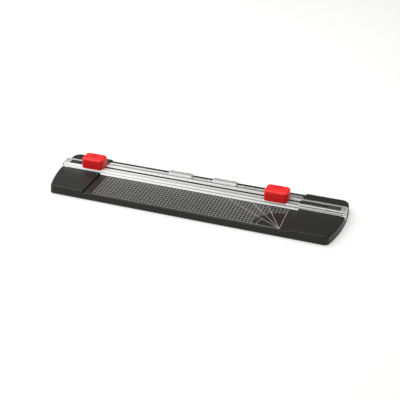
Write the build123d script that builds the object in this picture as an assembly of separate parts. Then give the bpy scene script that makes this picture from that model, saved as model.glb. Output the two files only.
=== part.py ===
from build123d import *

import math
import os

# A desk paper trimmer: a long moulded base with a printed bed, a clear rail that lifts about
# a pin at its left end, and two sliders on the rail, each with a small sprung wheel.
# Millimetres. X runs along the machine, Y away from the user, Z up.
# The origin is on the table, under the middle of the base.

# Base: outline and heights
base_length = 433.0
base_depth = 105.2
end_bow_radius = 198.0
end_bow_back = 17.6
front_corner_radius = 8.0
rear_corner_radius = 12.0
rim_height = 1.0
bed_height = 10.0
block_rise = 2.5
bed_length = 303.2
wall_lean = 1.2
top_edge_round = 2.0
block_edge_round = 0.5

# Base: inside of the shell
shell_wall = 2.2
rib_pitch = 35.0
rib_width = 1.5
front_rib_setback = 34.0
rear_rib_setback = 17.0
strip_support_width = 11.0
strip_support_depth = 2.3
housing_wall = 2.5

# Bottom plate, its screws and the feet
plate_setback = 0.2
plate_thickness = 2.0
plate_side_gap = 0.2
screw_edge_distance = 12.0
screw_end_distance = 26.0
screw_middle_distance = 65.0
screw_radius = 1.3
screw_length = 5.0
screw_head_radius = 2.8
screw_head_height = 1.1
screw_boss_radius = 3.5
screw_cross_length = 3.4
screw_cross_width = 0.8
screw_cross_depth = 0.6
foot_radius = 6.0
foot_seat_depth = 1.0
foot_edge_round = 0.4
foot_edge_distance = 13.0
foot_end_distance = 46.0
fit_gap = 0.05

# Cutting strip let into the bed
strip_width = 7.0
strip_thickness = 1.5
strip_end_gap = 0.1
kerf_width = 0.9
kerf_depth = 0.7

# Trough in the end blocks, under the parked sliders
trough_width = 9.8
trough_drop = 0.8
trough_end_wall = 18.1

# Clear rail: section
slot_y = 13.8
slot_width = 3.5
rail_rise = 9.0
rail_wall = 2.4
rail_top_plate = 1.6
channel_width = 9.6
rear_bar_width = 5.6
end_rim_width = 4.2
paper_gap = 0.3
front_ledge_reach = 1.0
front_ledge_height = 3.2
flange_reach = 15.5
flange_thickness = 2.2
rear_foot_width = 4.8
rear_foot_thickness = 3.0
rear_foot_corner = 4.0
rail_edge_round = 1.0
rail_corner_round = 5.0

# Clear rail: ends
rail_end_setback = 0.8
left_nose_round = 5.5
foot_end_gap = 1.2
slot_end_distance = 27.5
left_solid_length = 13.1
right_solid_length = 8.7
notch_length = 14.6
notch_side_gap = 0.3
notch_floor = 4.2
tongue_thickness = 7.0
tongue_bottom = 5.0

# Hinge at the left end
hinge_pin_radius = 1.5
hinge_pin_rise = 8.0
hinge_end_distance = 8.6
knuckle_radius = 3.2
pin_end_gap = 0.1

# Finger grips on the rear flange
left_grip_distance = 35.3
right_grip_distance = 33.2
grip_length = 36.0
grip_lobes = 3
grip_front_setback = 5.0
grip_overhang = 3.4
grip_lobe_swell = 0.9
grip_rise = 3.6
grip_edge_round = 1.2
grip_rib_pitch = 1.75
grip_rib_width = 0.6
grip_rib_depth = 0.4

# Sliders: how far each stands from its end of the slot, and the cap
cutter_slot_distance = 26.4
perforator_slot_distance = 71.25
press_travel = 1.5
press_gap = 0.3
cap_length = 35.0
cap_rise = 15.0
cap_wall = 2.2
cap_roof = 2.0
cap_lean = 0.7
cap_corner_round = 6.0
cap_top_round = 2.8
skirt_gap = 2.5
skirt_drop = 0.2
boss_wall = 0.8
mark_depth = 0.4
mark_size = 10.0
zigzag_width = 2.1

# Corners of the two marks, as shares of their size, from the middle of the cap
wedge_shares = ((-0.45, 0.75), (0.5, 0.3), (-0.3, -0.3))
zigzag_shares = ((-0.45, 0.05), (-0.15, 0.6), (0.1, 0.15), (0.35, 0.6), (0.62, 0.05))

# Sliders: plate on the rail, shoe in the channel, and their screws
slide_gap = 0.2
side_gap = 0.3
slide_plate_thickness = 1.8
slide_plate_setback = 0.4
neck_length = 4.0
neck_web = 1.0
shoe_thickness = 3.0
shoe_screw_radius = 0.8
shoe_screw_head_radius = 1.5
shoe_screw_head_height = 1.0
shoe_screw_tip_gap = 1.0
shoe_screw_head_gap = 0.1

# Sliders: blade holder, wheel, axle and springs
stem_length = 14.4
stem_rise = 8.0
holder_foot_thickness = 1.3
holder_foot_reach = 1.95
holder_stop_gap = 0.1
wheel_radius = 4.5
wheel_thickness = 0.5
wheel_clearance = 1.3
wheel_side_gap = 0.2
wheel_rim_gap = 0.5
wheel_edge_bevel = 0.15
wheel_web_holes = 3
wheel_web_hole_radius = 0.6
axle_radius = 0.75
running_gap = 0.05
tooth_count = 18
tooth_gap_radius = 0.35
spring_wire_radius = 0.22
spring_radius = 1.9
spring_turns = 6

# Cuts run past the surface that they open by this much
overrun = 1.0
quarter_turn = 90
half_turn = 180
full_turn = 360

# Places worked out from the sizes above
base_end = base_length / 2
base_half_depth = base_depth / 2
bed_end = bed_length / 2
block_height = bed_height + block_rise
plate_bottom = rim_height + plate_setback
plate_top = plate_bottom + plate_thickness
cavity_top = bed_height - shell_wall
trough_floor = bed_height - trough_drop
trough_end = base_end - trough_end_wall

rail_top = bed_height + rail_rise
rail_front_y = slot_y - channel_width / 2 - rail_wall
channel_rear_y = slot_y + channel_width / 2
rail_rear_y = channel_rear_y + rear_bar_width
flange_rear_y = rail_rear_y + flange_reach
rail_under_bed = bed_height + paper_gap
rail_under_block = block_height + paper_gap
rail_ledge_y = rail_front_y - front_ledge_reach
foot_end = bed_end - foot_end_gap
slot_end = base_end - slot_end_distance
notch_start = base_end - notch_length
notch_front_y = rail_front_y - notch_side_gap
notch_rear_y = rail_rear_y + notch_side_gap
hinge_x = -(base_end - hinge_end_distance)

cutter_x = cutter_slot_distance - slot_end
perforator_x = slot_end - perforator_slot_distance
slide_plate_bottom = rail_top + slide_gap
slide_plate_top = slide_plate_bottom + slide_plate_thickness
shoe_top = rail_top - rail_top_plate - slide_gap
shoe_bottom = shoe_top - shoe_thickness
stem_half = stem_length / 2
stem_half_width = slot_width / 2 - side_gap
shoe_half_width = channel_width / 2 - side_gap
neck_start = stem_half + side_gap + neck_web
neck_middle = neck_start + neck_length / 2
cap_half_width = channel_width / 2 + rail_wall + skirt_gap + cap_wall
cap_top = rail_top + cap_rise
cap_roof_under = cap_top - cap_roof
cap_bottom = rail_top + press_travel + press_gap
skirt_bottom = rail_top - skirt_drop
shoe_half_length = cap_length / 2 - cap_wall - slide_plate_setback
plate_corner_round = cap_corner_round - cap_wall - slide_plate_setback
stem_top = slide_plate_top + stem_rise
boss_bottom = slide_plate_top + press_travel + press_gap
wheel_z = bed_height + wheel_clearance + wheel_radius


def slab(x0, x1, y0, y1, z0, z1):
    """Block between two planes along each axis."""
    block = Box(x1 - x0, y1 - y0, z1 - z0, align=(Align.MIN, Align.MIN, Align.MIN))
    return Pos(x0, y0, z0) * block


def post(x, y, z0, z1, radius):
    """Upright cylinder."""
    cylinder = Cylinder(radius, z1 - z0, align=(Align.CENTER, Align.CENTER, Align.MIN))
    return Pos(x, y, z0) * cylinder


def cross_rod(x, z, y0, y1, radius):
    """Cylinder that lies along Y."""
    cylinder = Cylinder(radius, y1 - y0, align=(Align.CENTER, Align.CENTER, Align.MIN))
    return Pos(x, y0, z) * Rot(X=-quarter_turn) * cylinder


def wall_inset(z):
    """How far the leaning outer wall stands in at this height."""
    return wall_lean * (z - rim_height) / (block_height - rim_height)


def base_plan(inset):
    """Outline of the base, moved in by inset: straight front and rear, bowed ends."""
    half_x = base_end - inset
    half_y = base_half_depth - inset
    radius = end_bow_radius - inset
    centre_x = half_x - radius
    front_x = centre_x + math.sqrt(radius**2 - (half_y + end_bow_back) ** 2)
    rear_x = centre_x + math.sqrt(radius**2 - (half_y - end_bow_back) ** 2)
    front = Line((-front_x, -half_y), (front_x, -half_y))
    right = ThreePointArc((front_x, -half_y), (half_x, end_bow_back), (rear_x, half_y))
    rear = Line((rear_x, half_y), (-rear_x, half_y))
    left = ThreePointArc((-rear_x, half_y), (-half_x, end_bow_back), (-front_x, -half_y))
    plan = make_face(front + right + rear + left)
    front_corners = plan.vertices().group_by(Axis.Y)[0]
    plan = fillet(front_corners, front_corner_radius - inset)
    rear_corners = plan.vertices().group_by(Axis.Y)[-1]
    return fillet(rear_corners, rear_corner_radius - inset)


def walled_block(low, high, extra_inset):
    """Block with the outline of the base and the lean of its walls."""
    low_plan = Pos(0, 0, low) * base_plan(extra_inset + wall_inset(low))
    high_plan = Pos(0, 0, high) * base_plan(extra_inset + wall_inset(high))
    return loft([low_plan, high_plan], ruled=True)


def end_span(near, far, side):
    """Two X values in rising order, on the left (-1) or right (1) end."""
    return sorted((side * near, side * far))


def make_outer_base():
    """Bed with a raised block at each end, before anything is cut."""
    bed = walled_block(rim_height, bed_height, 0)
    bed = fillet(bed.edges().group_by(Axis.Z)[-1], top_edge_round)
    full = walled_block(rim_height, block_height, 0)
    full = fillet(full.edges().group_by(Axis.Z)[-1], top_edge_round)
    body = bed
    for side in (-1, 1):
        x0, x1 = end_span(bed_end, base_end + overrun, side)
        block = full & slab(x0, x1, -base_depth, base_depth, 0, block_height)
        inner_edge = block.edges().filter_by(Axis.Y).group_by(Axis.Z)[-1]
        inner_edge = inner_edge.sort_by(lambda edge: abs(edge.center().X))[0]
        block = fillet(inner_edge, block_edge_round)
        body = body + block
    return body


def screw_places():
    """Centres of the base screws: four along the front and four along the rear."""
    end_x = base_end - screw_end_distance
    y = base_half_depth - screw_edge_distance
    along = (-end_x, -screw_middle_distance, screw_middle_distance, end_x)
    return [(x, side * y) for side in (-1, 1) for x in along]


def make_hollow():
    """Space inside the shell: walls, ribs, screw bosses and end housings are left out."""
    low = rim_height - overrun
    hollow = walled_block(low, cavity_top, shell_wall)
    front_limit = slot_y - trough_width / 2 - shell_wall
    rear_limit = slot_y + trough_width / 2 + shell_wall
    tall = walled_block(low, block_height - shell_wall, shell_wall)
    for side in (-1, 1):
        x0, x1 = end_span(bed_end + shell_wall, base_end, side)
        front_pocket = tall & slab(x0, x1, -base_depth, front_limit, low, block_height)
        rear_pocket = tall & slab(x0, x1, rear_limit, base_depth, low, block_height)
        hollow = hollow + front_pocket + rear_pocket
    rib_count = int((base_end - shell_wall) // rib_pitch)
    for index in range(-rib_count, rib_count + 1):
        x = index * rib_pitch
        half = rib_width / 2
        hollow = hollow - slab(x - half, x + half, -base_depth, base_depth, plate_top, block_height)
    for y in (-base_half_depth + front_rib_setback, base_half_depth - rear_rib_setback):
        half = rib_width / 2
        hollow = hollow - slab(-base_end, base_end, y - half, y + half, plate_top, block_height)
    for x, y in screw_places():
        hollow = hollow - post(x, y, plate_top, block_height, screw_boss_radius)
    half = strip_support_width / 2
    support_low = cavity_top - strip_support_depth
    hollow = hollow - slab(-bed_end, bed_end, slot_y - half, slot_y + half, support_low, bed_height)
    y0 = notch_front_y - housing_wall
    y1 = notch_rear_y + housing_wall
    for side in (-1, 1):
        x0, x1 = end_span(notch_start - housing_wall, base_end, side)
        hollow = hollow - slab(x0, x1, y0, y1, plate_top, block_height)
    return hollow


def make_base_shell():
    """Upper moulding of the base."""
    shell = make_outer_base() - make_hollow()
    half = strip_width / 2 + fit_gap
    floor = bed_height - strip_thickness
    shell = shell - slab(-bed_end, bed_end, slot_y - half, slot_y + half, floor, block_height)
    half = trough_width / 2
    open_top = block_height + overrun
    for side in (-1, 1):
        x0, x1 = end_span(bed_end, trough_end, side)
        shell = shell - slab(x0, x1, slot_y - half, slot_y + half, trough_floor, open_top)
        x0, x1 = end_span(notch_start, base_end + overrun, side)
        shell = shell - slab(x0, x1, notch_front_y, notch_rear_y, notch_floor, open_top)
    y0 = notch_front_y - housing_wall
    y1 = notch_rear_y + housing_wall
    shell = shell - cross_rod(hinge_x, hinge_pin_rise, y0, y1, hinge_pin_radius + running_gap)
    pilot_top = plate_bottom + screw_head_height + screw_length
    for x, y in screw_places():
        shell = shell - post(x, y, rim_height, pilot_top, screw_radius + fit_gap)
    return shell


def make_bottom_plate():
    """Flat plate that closes the shell from below, with seats for screw heads and feet."""
    plan = base_plan(shell_wall + wall_inset(plate_top) + plate_side_gap)
    plate = extrude(Pos(0, 0, plate_bottom) * plan, plate_thickness)
    for x, y in screw_places():
        head_seat = plate_bottom + screw_head_height + fit_gap
        plate = plate - post(x, y, plate_bottom, head_seat, screw_head_radius + plate_side_gap)
        plate = plate - post(x, y, plate_bottom, plate_top, screw_radius + fit_gap)
    for x, y in foot_places().values():
        seat = plate_bottom + foot_seat_depth
        plate = plate - post(x, y, plate_bottom, seat, foot_radius + fit_gap)
    return plate


def make_base_screws():
    """Pan-head screws with a cross in the head, all in one group."""
    head_bottom = plate_bottom + fit_gap
    head_top = head_bottom + screw_head_height
    screws = []
    for x, y in screw_places():
        screw = post(x, y, head_bottom, head_top, screw_head_radius)
        screw = screw + post(x, y, head_top, plate_bottom + screw_head_height + screw_length,
                             screw_radius)
        reach = screw_cross_length / 2
        half = screw_cross_width / 2
        cut_top = head_bottom + screw_cross_depth
        screw = screw - slab(x - reach, x + reach, y - half, y + half, 0, cut_top)
        screw = screw - slab(x - half, x + half, y - reach, y + reach, 0, cut_top)
        screws.append(screw)
    return Compound(screws)


def foot_places():
    """Centre of each rubber foot by its name."""
    end_x = base_end - foot_end_distance
    y = base_half_depth - foot_edge_distance
    places = {}
    for row, side in (("front", -1), ("rear", 1)):
        for column, x in (("left", -end_x), ("middle", 0), ("right", end_x)):
            places[f"foot_{row}_{column}"] = (x, side * y)
    return places


def make_foot(x, y):
    """Round rubber foot glued in its seat in the plate."""
    foot = post(x, y, 0, plate_bottom + foot_seat_depth, foot_radius)
    return fillet(foot.edges().group_by(Axis.Z)[0], foot_edge_round)


def make_cutting_strip():
    """Strip let into the bed, with a kerf that the wheels run in."""
    end = bed_end - strip_end_gap
    half = strip_width / 2
    strip = slab(-end, end, slot_y - half, slot_y + half, bed_height - strip_thickness, bed_height)
    half = kerf_width / 2
    return strip - slab(-bed_end, bed_end, slot_y - half, slot_y + half,
                        bed_height - kerf_depth, bed_height + overrun)


def make_hinge_pin():
    """Steel pin across the left notch, held in the two walls of its housing."""
    y0 = notch_front_y - housing_wall + pin_end_gap
    y1 = notch_rear_y + housing_wall - pin_end_gap
    return cross_rod(hinge_x, hinge_pin_rise, y0, y1, hinge_pin_radius)


def make_rail_envelope():
    """Upright prism that follows the bowed ends of the base and bounds the rail's bar."""
    width = slab(-base_length, base_length, rail_front_y, rail_rear_y, 0, rail_top)
    prism = width & extrude(base_plan(rail_end_setback), rail_top)
    return fillet(prism.edges().filter_by(Axis.Z), rail_corner_round)


def make_nose_waste():
    """What is taken off over the rail's left end to leave a round nose."""
    end_x = rail_end_setback - base_end
    centre_x = end_x + left_nose_round
    centre_z = rail_top - left_nose_round
    corner = slab(end_x - overrun, centre_x, rail_front_y, rail_rear_y, centre_z,
                  rail_top + overrun)
    return corner - cross_rod(centre_x, centre_z, rail_front_y, rail_rear_y, left_nose_round)


def make_rear_flange():
    """Flat flange behind the bar, with a thicker foot along its rear edge."""
    flange = slab(-foot_end, foot_end, rail_rear_y - overrun, flange_rear_y,
                  rail_under_bed, rail_under_bed + flange_thickness)
    foot = slab(-foot_end, foot_end, flange_rear_y - rear_foot_width, flange_rear_y,
                rail_under_bed, rail_under_bed + rear_foot_thickness)
    flange = flange + foot
    corners = flange.edges().filter_by(Axis.Z).group_by(Axis.Y)[-1]
    flange = fillet(corners, rear_foot_corner)
    return flange


def make_clear_rail():
    """Clear moulding: slotted bar, front foot, rear flange, hinge knuckle and end tongue."""
    envelope = make_rail_envelope()
    bar = envelope & slab(-base_length, base_length, 0, base_depth, rail_under_block, rail_top)
    bar = fillet(bar.edges().group_by(Axis.Z)[-1], rail_edge_round) - make_nose_waste()
    plate_under = rail_top - rail_top_plate
    channel_front_y = slot_y - channel_width / 2
    window_rear_y = rail_rear_y - end_rim_width
    bar = bar - slab(-foot_end, foot_end, channel_front_y, channel_rear_y, 0, plate_under)
    for side, solid_length in ((-1, left_solid_length), (1, right_solid_length)):
        x0, x1 = end_span(foot_end, base_end - solid_length, side)
        bar = bar - slab(x0, x1, channel_front_y, window_rear_y, 0, plate_under)
    half = slot_width / 2
    bar = bar - slab(-slot_end, slot_end, slot_y - half, slot_y + half, 0, rail_top + overrun)
    front_foot = slab(-foot_end, foot_end, rail_front_y, channel_front_y,
                      rail_under_bed, rail_under_block)
    front_ledge = slab(-foot_end, foot_end, rail_ledge_y, rail_front_y,
                       rail_under_bed, rail_under_bed + front_ledge_height)
    rear_bar = slab(-foot_end, foot_end, channel_rear_y, rail_rear_y,
                    rail_under_bed, rail_under_block)
    knuckle = cross_rod(hinge_x, hinge_pin_rise, rail_front_y, rail_rear_y, knuckle_radius)
    leg = slab(hinge_x - knuckle_radius, hinge_x + knuckle_radius, rail_front_y, rail_rear_y,
               hinge_pin_rise, rail_under_block)
    tongue = envelope & slab(base_end - rail_end_setback - tongue_thickness, base_end,
                             rail_front_y, rail_rear_y, tongue_bottom, rail_under_block)
    rail = bar + front_foot + front_ledge + rear_bar + make_rear_flange()
    rail = rail + knuckle + leg + tongue
    return rail - cross_rod(hinge_x, hinge_pin_rise, rail_front_y, rail_rear_y,
                            hinge_pin_radius + running_gap)


def make_finger_grip(x):
    """Rest for the fingers: three lobes along the rear edge and fine ribs across the top."""
    bottom = rail_under_bed + rear_foot_thickness
    top = bottom + grip_rise
    front_y = flange_rear_y - grip_front_setback
    rear_y = flange_rear_y + grip_overhang
    lobe_length = grip_length / grip_lobes
    radius = (lobe_length / 2) ** 2 / (2 * grip_lobe_swell) + grip_lobe_swell / 2
    pad = slab(x - grip_length / 2, x + grip_length / 2, front_y, rear_y, bottom, top)
    for index in range(grip_lobes):
        lobe_x = x + (index - (grip_lobes - 1) / 2) * lobe_length
        lobe = post(lobe_x, rear_y + grip_lobe_swell - radius, bottom, top, radius)
        half = lobe_length / 2
        pad = pad + (lobe & slab(lobe_x - half, lobe_x + half, front_y, base_depth, bottom, top))
    pad = fillet(pad.edges().group_by(Axis.Z)[-1], grip_edge_round)
    rib_count = int((grip_length - 2 * grip_edge_round) // grip_rib_pitch)
    for index in range(rib_count):
        groove_x = x + (index - (rib_count - 1) / 2) * grip_rib_pitch
        half = grip_rib_width / 2
        pad = pad - slab(groove_x - half, groove_x + half, front_y, base_depth,
                         top - grip_rib_depth, top)
    return pad


def slider_slab(x, half_x, half_y, z0, z1):
    """Block centred on a slider's place over the slot."""
    return slab(x - half_x, x + half_x, slot_y - half_y, slot_y + half_y, z0, z1)


def make_wedge_mark():
    """Wedge, the plain sign for a blade: it marks the cutter's cap."""
    corners = [(mark_size * x, mark_size * y) for x, y in wedge_shares]
    return extrude(make_face(Polyline(*corners, close=True)), mark_depth)


def make_zigzag_mark():
    """Zigzag of thick round-ended strokes: it marks the perforator's cap."""
    corners = [(mark_size * x, mark_size * y) for x, y in zigzag_shares]
    mark = Part()
    for (x0, y0), (x1, y1) in zip(corners, corners[1:]):
        stroke = SlotCenterToCenter(math.hypot(x1 - x0, y1 - y0), zigzag_width)
        angle = math.degrees(math.atan2(y1 - y0, x1 - x0))
        middle = Pos((x0 + x1) / 2, (y0 + y1) / 2, 0)
        mark = mark + middle * Rot(Z=angle) * extrude(stroke, mark_depth)
    return mark


def make_cap(x, mark):
    """Pressed cap: a tapered shell with a front skirt and a socket for the holder's stem."""
    low = Pos(x, slot_y, skirt_bottom) * RectangleRounded(cap_length, 2 * cap_half_width,
                                                          cap_corner_round)
    high = Pos(x, slot_y, cap_top) * RectangleRounded(cap_length - 2 * cap_lean,
                                                      2 * (cap_half_width - cap_lean),
                                                      cap_corner_round)
    cap = loft([low, high], ruled=True)
    cap = fillet(cap.edges().group_by(Axis.Z)[-1], cap_top_round)
    inner_x = cap_length / 2 - cap_wall
    inner_y = cap_half_width - cap_wall
    space = slider_slab(x, inner_x, inner_y, skirt_bottom, cap_roof_under)
    cap = cap - fillet(space.edges().filter_by(Axis.Z), cap_corner_round - cap_wall)
    behind_skirt = slot_y - inner_y
    cap = cap - slab(x - cap_length, x + cap_length, behind_skirt, base_depth,
                     skirt_bottom, cap_bottom)
    boss_x = stem_half + fit_gap + boss_wall
    boss_y = stem_half_width + fit_gap + boss_wall
    cap = cap + slider_slab(x, boss_x, boss_y, boss_bottom, cap_roof_under)
    cap = cap - slider_slab(x, stem_half + fit_gap, stem_half_width + fit_gap,
                            boss_bottom, stem_top)
    return cap - Pos(x, slot_y, cap_top - mark_depth) * mark


def make_slide_plate(x):
    """Plate on top of the rail, with two necks that reach down through the slot."""
    front_y = rail_front_y + slide_plate_setback
    rear_y = slot_y + cap_half_width - cap_wall - slide_plate_setback
    plate = slab(x - shoe_half_length, x + shoe_half_length, front_y, rear_y,
                 slide_plate_bottom, slide_plate_top)
    plate = fillet(plate.edges().filter_by(Axis.Z), plate_corner_round)
    plate = plate - slider_slab(x, stem_half + side_gap, stem_half_width + side_gap,
                                slide_plate_bottom, slide_plate_top)
    for side in (-1, 1):
        neck_x = x + side * neck_middle
        plate = plate + slider_slab(neck_x, neck_length / 2, stem_half_width,
                                    shoe_top, slide_plate_bottom)
        plate = plate - post(neck_x, slot_y, shoe_top, slide_plate_top,
                             shoe_screw_radius + fit_gap)
        seat = slide_plate_top - shoe_screw_head_height
        plate = plate - post(neck_x, slot_y, seat, slide_plate_top,
                             shoe_screw_head_radius + shoe_screw_head_gap)
    return plate


def make_slide_shoe(x):
    """Frame that runs in the channel under the rail's top plate."""
    shoe = slider_slab(x, shoe_half_length, shoe_half_width, shoe_bottom, shoe_top)
    shoe = shoe - slider_slab(x, stem_half + side_gap, stem_half_width + side_gap,
                              shoe_bottom, shoe_top)
    for side in (-1, 1):
        shoe = shoe - post(x + side * neck_middle, slot_y, shoe_bottom, shoe_top,
                           shoe_screw_radius + fit_gap)
    return shoe


def make_shoe_screws(x):
    """Two small screws that pull plate and shoe together through the slot."""
    screws = []
    for side in (-1, 1):
        neck_x = x + side * neck_middle
        seat = slide_plate_top - shoe_screw_head_height
        screw = post(neck_x, slot_y, seat, slide_plate_top, shoe_screw_head_radius)
        screw = screw + post(neck_x, slot_y, shoe_bottom + shoe_screw_tip_gap, seat,
                             shoe_screw_radius)
        screws.append(screw)
    return Compound(screws)


def make_blade_holder(x):
    """Stem through the slot, forked below for the wheel, with a foot that stops its rise."""
    foot_top = shoe_bottom - holder_stop_gap
    foot_bottom = foot_top - holder_foot_thickness
    holder = slider_slab(x, stem_half, stem_half_width, foot_bottom, stem_top)
    holder = holder + slider_slab(x, stem_half, stem_half_width + holder_foot_reach,
                                  foot_bottom, foot_top)
    holder = holder - slider_slab(x, wheel_radius + wheel_rim_gap,
                                  wheel_thickness / 2 + wheel_side_gap,
                                  foot_bottom, wheel_z + wheel_radius + wheel_rim_gap)
    return holder - cross_rod(x, wheel_z, slot_y - stem_half_width, slot_y + stem_half_width,
                              axle_radius + fit_gap)


def make_axle(x):
    """Steel pin that the wheel turns on."""
    return cross_rod(x, wheel_z, slot_y - stem_half_width, slot_y + stem_half_width, axle_radius)


def make_wheel(x, toothed):
    """Thin steel wheel with a bevelled edge, toothed where it makes holes."""
    half = wheel_thickness / 2
    wheel = cross_rod(x, wheel_z, slot_y - half, slot_y + half, wheel_radius)
    rim = wheel.edges().filter_by(GeomType.CIRCLE)
    wheel = chamfer(rim, wheel_edge_bevel)
    wheel = wheel - cross_rod(x, wheel_z, slot_y - half, slot_y + half,
                              axle_radius + running_gap)
    hole_radius = (axle_radius + wheel_radius) / 2
    for index in range(wheel_web_holes):
        angle = 2 * math.pi * index / wheel_web_holes
        hole_x = x + hole_radius * math.cos(angle)
        hole_z = wheel_z + hole_radius * math.sin(angle)
        wheel = wheel - cross_rod(hole_x, hole_z, slot_y - half, slot_y + half,
                                  wheel_web_hole_radius)
    if toothed:
        for index in range(tooth_count):
            angle = 2 * math.pi * (index + 1 / 2) / tooth_count
            gap_x = x + wheel_radius * math.cos(angle)
            gap_z = wheel_z + wheel_radius * math.sin(angle)
            wheel = wheel - cross_rod(gap_x, gap_z, slot_y - half, slot_y + half,
                                      tooth_gap_radius)
    return wheel


def coil_point(angle, pitch):
    """Point on the middle line of a spring after this many degrees of turn."""
    turn = math.radians(angle)
    return (spring_radius * math.cos(turn), spring_radius * math.sin(turn),
            pitch * angle / full_turn)


def make_springs(x):
    """Two return springs that stand on the plate, round the screw heads, and lift the cap."""
    low = slide_plate_top + spring_wire_radius
    height = cap_roof_under - slide_plate_top - 2 * spring_wire_radius
    pitch = height / spring_turns
    path = Curve()
    for index in range(2 * spring_turns):
        start = index * half_turn
        points = [coil_point(start + part * quarter_turn, pitch) for part in range(3)]
        path = path + ThreePointArc(*points)
    section = Plane(origin=path @ 0, z_dir=path % 0) * Circle(spring_wire_radius)
    coil = sweep(section, path=path)
    springs = []
    for side in (-1, 1):
        springs.append(Pos(x + side * neck_middle, slot_y, low) * coil)
    return Compound(springs)


def make_slider(name, x, mark, toothed):
    """All pieces of one slider by node name."""
    return {
        f"{name}_cap": make_cap(x, mark),
        f"{name}_slide_plate": make_slide_plate(x),
        f"{name}_slide_shoe": make_slide_shoe(x),
        f"{name}_shoe_screws": make_shoe_screws(x),
        f"{name}_blade_holder": make_blade_holder(x),
        f"{name}_axle": make_axle(x),
        f"{name}_wheel": make_wheel(x, toothed),
        f"{name}_springs": make_springs(x),
    }


nodes = {
    "base_shell": make_base_shell(),
    "bottom_plate": make_bottom_plate(),
    "base_screws": make_base_screws(),
    "cutting_strip": make_cutting_strip(),
    "hinge_pin": make_hinge_pin(),
    "clear_rail": make_clear_rail(),
}
for foot_name, (foot_x, foot_y) in foot_places().items():
    nodes[foot_name] = make_foot(foot_x, foot_y)
nodes["finger_grip_left"] = make_finger_grip(-left_grip_distance)
nodes["finger_grip_right"] = make_finger_grip(right_grip_distance)
nodes.update(make_slider("cutter", cutter_x, make_wedge_mark(), False))
nodes.update(make_slider("perforator", perforator_x, make_zigzag_mark(), True))

os.makedirs("parts", exist_ok=True)
for node_name, node_shape in nodes.items():
    export_step(node_shape, f"parts/{node_name}.step")
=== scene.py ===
# %% [markdown]
# # A desk paper trimmer
# The machine is a long black moulding with a printed bed. A clear plastic rail lies across it,
# hinged at the left, and two red sliders run on the rail: one cuts, the other makes a row of
# holes. The exact solids and their joints come ready made as a frame. Blender adds what a CAD
# solid can't carry: the finish of each plastic, metal and rubber, and the ink on the bed.
# Everything here is in metres, with the origin on the table under the middle of the base.

# %% Load the frame
import math

import bpy
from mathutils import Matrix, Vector


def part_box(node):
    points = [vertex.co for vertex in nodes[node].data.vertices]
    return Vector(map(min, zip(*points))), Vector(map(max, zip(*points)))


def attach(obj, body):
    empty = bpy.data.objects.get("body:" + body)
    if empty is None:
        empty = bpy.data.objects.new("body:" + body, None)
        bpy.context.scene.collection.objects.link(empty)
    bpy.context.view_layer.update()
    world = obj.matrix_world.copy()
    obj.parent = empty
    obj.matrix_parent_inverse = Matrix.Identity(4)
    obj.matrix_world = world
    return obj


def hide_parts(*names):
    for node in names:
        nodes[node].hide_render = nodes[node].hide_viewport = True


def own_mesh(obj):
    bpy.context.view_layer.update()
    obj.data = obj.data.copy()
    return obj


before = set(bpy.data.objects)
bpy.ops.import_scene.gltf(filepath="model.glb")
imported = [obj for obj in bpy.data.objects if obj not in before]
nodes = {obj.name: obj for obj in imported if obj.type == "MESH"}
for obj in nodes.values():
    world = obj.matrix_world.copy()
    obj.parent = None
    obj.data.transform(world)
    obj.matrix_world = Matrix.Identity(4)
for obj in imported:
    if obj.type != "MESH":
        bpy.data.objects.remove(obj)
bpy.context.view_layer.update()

# %% [markdown]
# Sizes on a small machine are easier to read in millimetres, while Blender and the frame use
# metres. One constant makes the step: a size is a number of millimetres times mm.

# %% Millimetres
mm = 0.001

# %% [markdown]
# The picture to match was taken from in front, a little to the right and from above, through a
# long lens. A long lens keeps the far end of a long machine almost as large as the near end.
# The camera looks at a point of the bed, from a distance that a fit to the picture's parallel
# edges gave. Its lens is the focal length in pixels, put in sensor widths.

# %% Camera
look_at = Vector((13.6, -13.25, 10.0)) * mm
camera_azimuth = math.radians(19.709)
camera_elevation = math.radians(31.045)
camera_distance = 1111.0 * mm
focal_pixels = 788.864
picture_pixels = 400

ahead = Vector((
    -math.sin(camera_azimuth) * math.cos(camera_elevation),
    math.cos(camera_azimuth) * math.cos(camera_elevation),
    -math.sin(camera_elevation),
))
camera = bpy.data.objects.new("camera", bpy.data.cameras.new("camera"))
bpy.context.scene.collection.objects.link(camera)
camera.location = look_at - ahead * camera_distance
camera.rotation_euler = ahead.to_track_quat("-Z", "Y").to_euler()
camera.data.lens = camera.data.sensor_width * focal_pixels / picture_pixels
bpy.context.scene.camera = camera
print("camera lens:", round(camera.data.lens, 1), "mm")

# %% [markdown]
# A node tree is a list of nodes and the links between them. Written out one call at a time, it
# is long and hard to follow. This one function adds a node, sets what is fixed on it, and
# links what feeds it, so that each tree below reads as a short list of steps. Inputs are
# named, or numbered where several have the same name.


# %% One function that adds a node
def add(tree, kind, links=None, values=None, **settings):
    """New node of a tree: settings on the node, values and links on its inputs."""
    node = tree.nodes.new(kind)
    for name, value in settings.items():
        setattr(node, name, value)
    for name, value in (values or {}).items():
        node.inputs[name].default_value = value
    for name, socket in (links or {}).items():
        tree.links.new(socket, node.inputs[name])
    return node


print("add:", add.__doc__)

# %% [markdown]
# The studio is a white room: soft light from everywhere, and one large lamp above, to the left.
# The world could be plain white for everything, but then it would light the object as strongly
# as it fills the background. Light Path tells the two apart. Rays from the camera, and rays
# that pass through the clear plastic, meet white. Rays that only carry light meet a grey.

# %% World and lamp
white_light = (1.0, 1.0, 1.0, 1.0)
world_light = 0.3
gloss_light = 0.27
lamp_size = 2.4
lamp_power = 41.0
lamp_place = Vector((-0.6, 0.0, 1.5))

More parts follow.
